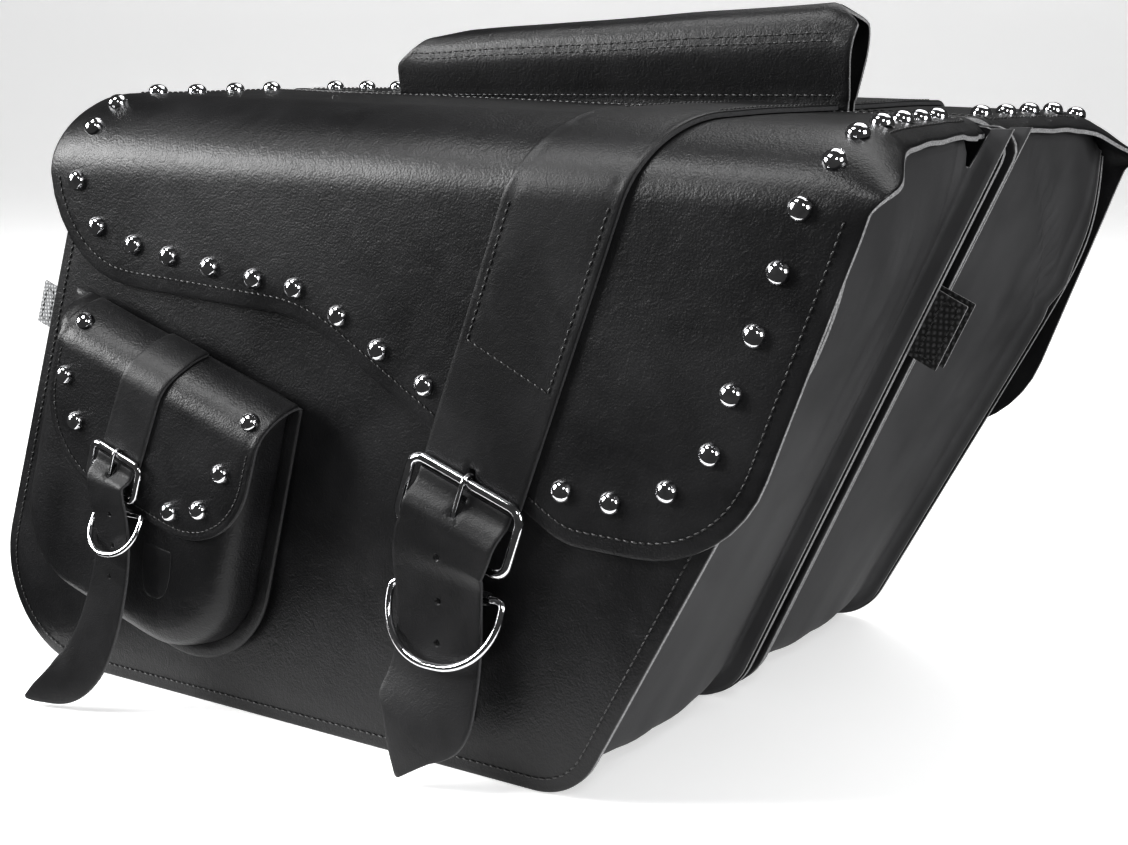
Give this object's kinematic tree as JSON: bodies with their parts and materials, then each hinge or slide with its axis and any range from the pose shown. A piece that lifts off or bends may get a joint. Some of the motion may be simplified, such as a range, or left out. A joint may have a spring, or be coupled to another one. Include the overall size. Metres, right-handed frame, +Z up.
{
  "type": "motorcycle saddlebag pair",
  "caption": "Slanted black leather throw-over saddlebag pair with hinged lids, buckled straps, outer pockets and a joining yoke",
  "frame": {"origin": "centre of the footprint on the ground, midway between the two bags", "axes": "+X along the bags toward the end that leans out, +Y from the right bag to the left bag, +Z up"},
  "size_m": [0.5775, 0.4736, 0.388],
  "materials": {
    "leather": "black grained saddle leather, soft semi-gloss topcoat",
    "strap_leather": "black strap leather, smoother, semi-gloss",
    "soft_leather": "soft black gusset leather, satin",
    "board": "black fibre stiffener board, matte",
    "chrome": "bright nickel-chrome plate, polished",
    "black_plastic": "moulded black acetal, satin",
    "webbing": "black woven polypropylene webbing, matte",
    "hook_and_loop": "black hook-and-loop tape, matte"
  },
  "bodies": {
    "right_bag": {"right_front_panel": "leather", "right_back_panel": "leather", "right_gusset": "soft_leather", "right_back_board": "board", "right_bottom_board": "board", "right_clip_socket": "black_plastic", "right_clip_webbing": "webbing", "right_pocket_body": "leather", "right_pocket_tab": "strap_leather", "right_yoke": "leather", "right_yoke_hook_strip": "hook_and_loop", "right_front_web_tab": "webbing", "right_rear_web_tab": "webbing"},
    "right_lid_body": {"right_lid": "leather", "right_lid_strap": "strap_leather"},
    "right_billet": {"right_billet_strap": "strap_leather", "right_buckle_frame": "chrome", "right_buckle_prong": "chrome", "right_ring_loop": "strap_leather"},
    "right_ring": {"right_keeper_ring": "chrome"},
    "right_clip": {"right_clip_tongue": "black_plastic"},
    "right_pocket_flap": {"right_pocket_lid": "leather", "right_pocket_strap": "strap_leather"},
    "right_pocket_buckle": {"right_pocket_billet": "strap_leather", "right_pocket_buckle_frame": "chrome", "right_pocket_buckle_prong": "chrome"},
    "right_pocket_loop": {"right_pocket_ring": "chrome"},
    "left_bag": {"left_front_panel": "leather", "left_back_panel": "leather", "left_gusset": "soft_leather", "left_back_board": "board", "left_bottom_board": "board", "left_clip_socket": "black_plastic", "left_clip_webbing": "webbing", "left_pocket_body": "leather", "left_pocket_tab": "strap_leather", "left_yoke": "leather", "left_yoke_loop_strip": "hook_and_loop", "left_front_web_tab": "webbing", "left_rear_web_tab": "webbing"},
    "left_lid_body": {"left_lid": "leather", "left_lid_strap": "strap_leather"},
    "left_billet": {"left_billet_strap": "strap_leather", "left_buckle_frame": "chrome", "left_buckle_prong": "chrome", "left_ring_loop": "strap_leather"},
    "left_ring": {"left_keeper_ring": "chrome"},
    "left_clip": {"left_clip_tongue": "black_plastic"},
    "left_pocket_flap": {"left_pocket_lid": "leather", "left_pocket_strap": "strap_leather"},
    "left_pocket_buckle": {"left_pocket_billet": "strap_leather", "left_pocket_buckle_frame": "chrome", "left_pocket_buckle_prong": "chrome"},
    "left_pocket_loop": {"left_pocket_ring": "chrome"}
  },
  "joints": [
    {"name": "right_lid_hinge", "type": "hinge", "parent": "right_bag", "child": "right_lid_body", "pos_m": [0, -0.008, 0.3396], "axis": [-0.9998, 0, 0.02], "range_deg": [0, 70]},
    {"name": "right_billet_swing", "type": "hinge", "parent": "right_lid_body", "child": "right_billet", "pos_m": [0.072, -0.1901, 0.158], "axis": [-0.9455, 0, 0.3256], "range_deg": [0, 45]},
    {"name": "right_ring_swing", "type": "hinge", "parent": "right_billet", "child": "right_ring", "pos_m": [0.058, -0.1892, 0.101], "axis": [-1, 0, 0], "range_deg": [0, 60]},
    {"name": "right_clip_slide", "type": "slide", "parent": "right_bag", "child": "right_clip", "axis": [0, 0, 1], "range_m": [0, 0.022]},
    {"name": "right_pocket_lid_hinge", "type": "hinge", "parent": "right_bag", "child": "right_pocket_flap", "pos_m": [-0.11183, -0.1773, 0.20899], "axis": [-0.9532, 0, 0.3024], "range_deg": [0, 60]},
    {"name": "right_pocket_billet_swing", "type": "hinge", "parent": "right_pocket_flap", "child": "right_pocket_buckle", "pos_m": [-0.1435, -0.2164, 0.15], "axis": [-0.9455, 0, 0.3256], "range_deg": [0, 45]},
    {"name": "right_pocket_ring_swing", "type": "hinge", "parent": "right_pocket_buckle", "child": "right_pocket_loop", "pos_m": [-0.146, -0.2145, 0.117], "axis": [-1, 0, 0], "range_deg": [0, 50]},
    {"name": "left_lid_hinge", "type": "hinge", "parent": "left_bag", "child": "left_lid_body", "pos_m": [0, 0.008, 0.3396], "axis": [0.9998, 0, -0.02], "range_deg": [0, 70]},
    {"name": "left_billet_swing", "type": "hinge", "parent": "left_lid_body", "child": "left_billet", "pos_m": [0.072, 0.1901, 0.158], "axis": [0.9455, 0, -0.3256], "range_deg": [0, 45]},
    {"name": "left_ring_swing", "type": "hinge", "parent": "left_billet", "child": "left_ring", "pos_m": [0.058, 0.1892, 0.101], "axis": [1, 0, 0], "range_deg": [0, 60]},
    {"name": "left_clip_slide", "type": "slide", "parent": "left_bag", "child": "left_clip", "axis": [0, 0, 1], "range_m": [0, 0.022]},
    {"name": "left_pocket_lid_hinge", "type": "hinge", "parent": "left_bag", "child": "left_pocket_flap", "pos_m": [-0.11183, 0.1773, 0.20899], "axis": [0.9532, 0, -0.3024], "range_deg": [0, 60]},
    {"name": "left_pocket_billet_swing", "type": "hinge", "parent": "left_pocket_flap", "child": "left_pocket_buckle", "pos_m": [-0.1435, 0.2164, 0.15], "axis": [0.9455, 0, -0.3256], "range_deg": [0, 45]},
    {"name": "left_pocket_ring_swing", "type": "hinge", "parent": "left_pocket_buckle", "child": "left_pocket_loop", "pos_m": [-0.146, 0.2145, 0.117], "axis": [1, 0, 0], "range_deg": [0, 50]},
    {"name": "yoke_fold", "type": "hinge", "parent": "right_bag", "child": "left_bag", "pos_m": [0, 0, 0.388], "axis": [1, 0, 0], "range_deg": [0, 48]}
  ]
}
